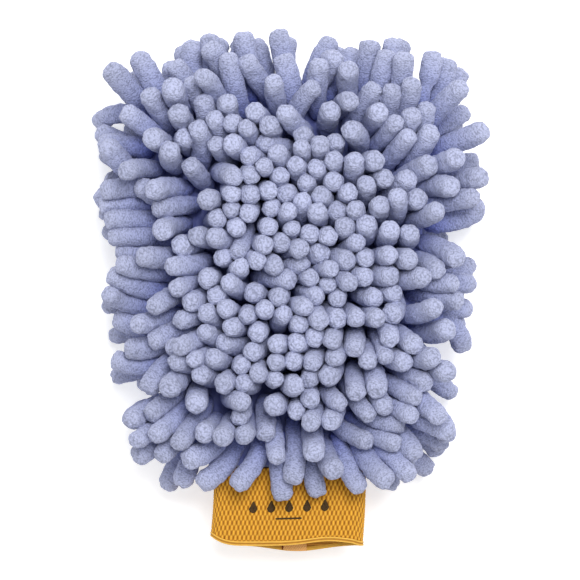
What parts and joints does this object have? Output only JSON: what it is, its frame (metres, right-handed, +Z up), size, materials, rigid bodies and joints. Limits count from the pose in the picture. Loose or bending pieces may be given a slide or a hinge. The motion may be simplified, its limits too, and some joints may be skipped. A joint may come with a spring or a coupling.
{
  "type": "wash mitt",
  "caption": "Two-sided chenille wash mitt: rows of soft strands over a flat lined hand pocket, entered through a bending woven elastic cuff.",
  "frame": {"origin": "middle of the footprint, on the surface that the tips of the back strands rest on", "axes": "+Y along the mitt towards the fingertips, +X across its width, +Z up through its thickness, out of the front"},
  "size_m": [0.1976, 0.2572, 0.0748],
  "materials": {
    "strand_chenille": "chenille microfibre pile, matt with a soft sheen",
    "base_cloth": "warp-knitted microfibre ground",
    "lining": "brushed tricot",
    "seam_thread": "overlocked texturised thread",
    "cuff_knit": "woven honeycomb elastic, matt",
    "rubber_thread": "bare elastomer thread",
    "cuff_backing": "plain woven backing, matt",
    "cuff_edge": "ribbed woven edge, matt",
    "join_tape": "plain woven tape",
    "stitch_thread": "polyester sewing thread",
    "print_ink": "flat screen-print ink"
  },
  "bodies": {
    "pad": {"front_strands_01": "strand_chenille", "front_strands_02": "strand_chenille", "front_strands_03": "strand_chenille", "front_strands_04": "strand_chenille", "front_strands_05": "strand_chenille", "front_strands_06": "strand_chenille", "front_strands_07": "strand_chenille", "front_strands_08": "strand_chenille", "front_strands_09": "strand_chenille", "front_strands_10": "strand_chenille", "front_strands_11": "strand_chenille", "front_strands_12": "strand_chenille", "front_strands_13": "strand_chenille", "front_strands_14": "strand_chenille", "front_strands_15": "strand_chenille", "front_strands_16": "strand_chenille", "front_strands_17": "strand_chenille", "front_strands_18": "strand_chenille", "front_strands_19": "strand_chenille", "front_strands_20": "strand_chenille", "back_strands_01": "strand_chenille", "back_strands_02": "strand_chenille", "back_strands_03": "strand_chenille", "back_strands_04": "strand_chenille", "back_strands_05": "strand_chenille", "back_strands_06": "strand_chenille", "back_strands_07": "strand_chenille", "back_strands_08": "strand_chenille", "back_strands_09": "strand_chenille", "back_strands_10": "strand_chenille", "back_strands_11": "strand_chenille", "back_strands_12": "strand_chenille", "back_strands_13": "strand_chenille", "back_strands_14": "strand_chenille", "back_strands_15": "strand_chenille", "back_strands_16": "strand_chenille", "back_strands_17": "strand_chenille", "back_strands_18": "strand_chenille", "back_strands_19": "strand_chenille", "back_strands_20": "strand_chenille", "front_cloth": "base_cloth", "back_cloth": "base_cloth", "front_lining": "lining", "back_lining": "lining", "edge_seam": "seam_thread", "mouth_seam": "seam_thread"},
    "cuff": {"cuff_face": "cuff_knit", "rubber_threads": "rubber_thread", "cuff_backing": "cuff_backing", "cuff_edge_band": "cuff_edge", "join_tape": "join_tape", "tape_stitches": "stitch_thread", "cuff_print": "print_ink"}
  },
  "joints": [
    {"name": "cuff_bend", "type": "hinge", "parent": "pad", "child": "cuff", "pos_m": [0, -0.0814, 0.0334], "axis": [1, 0, 0], "range_deg": [-25, 25], "stiffness_Nm_per_rad": 0.12}
  ]
}
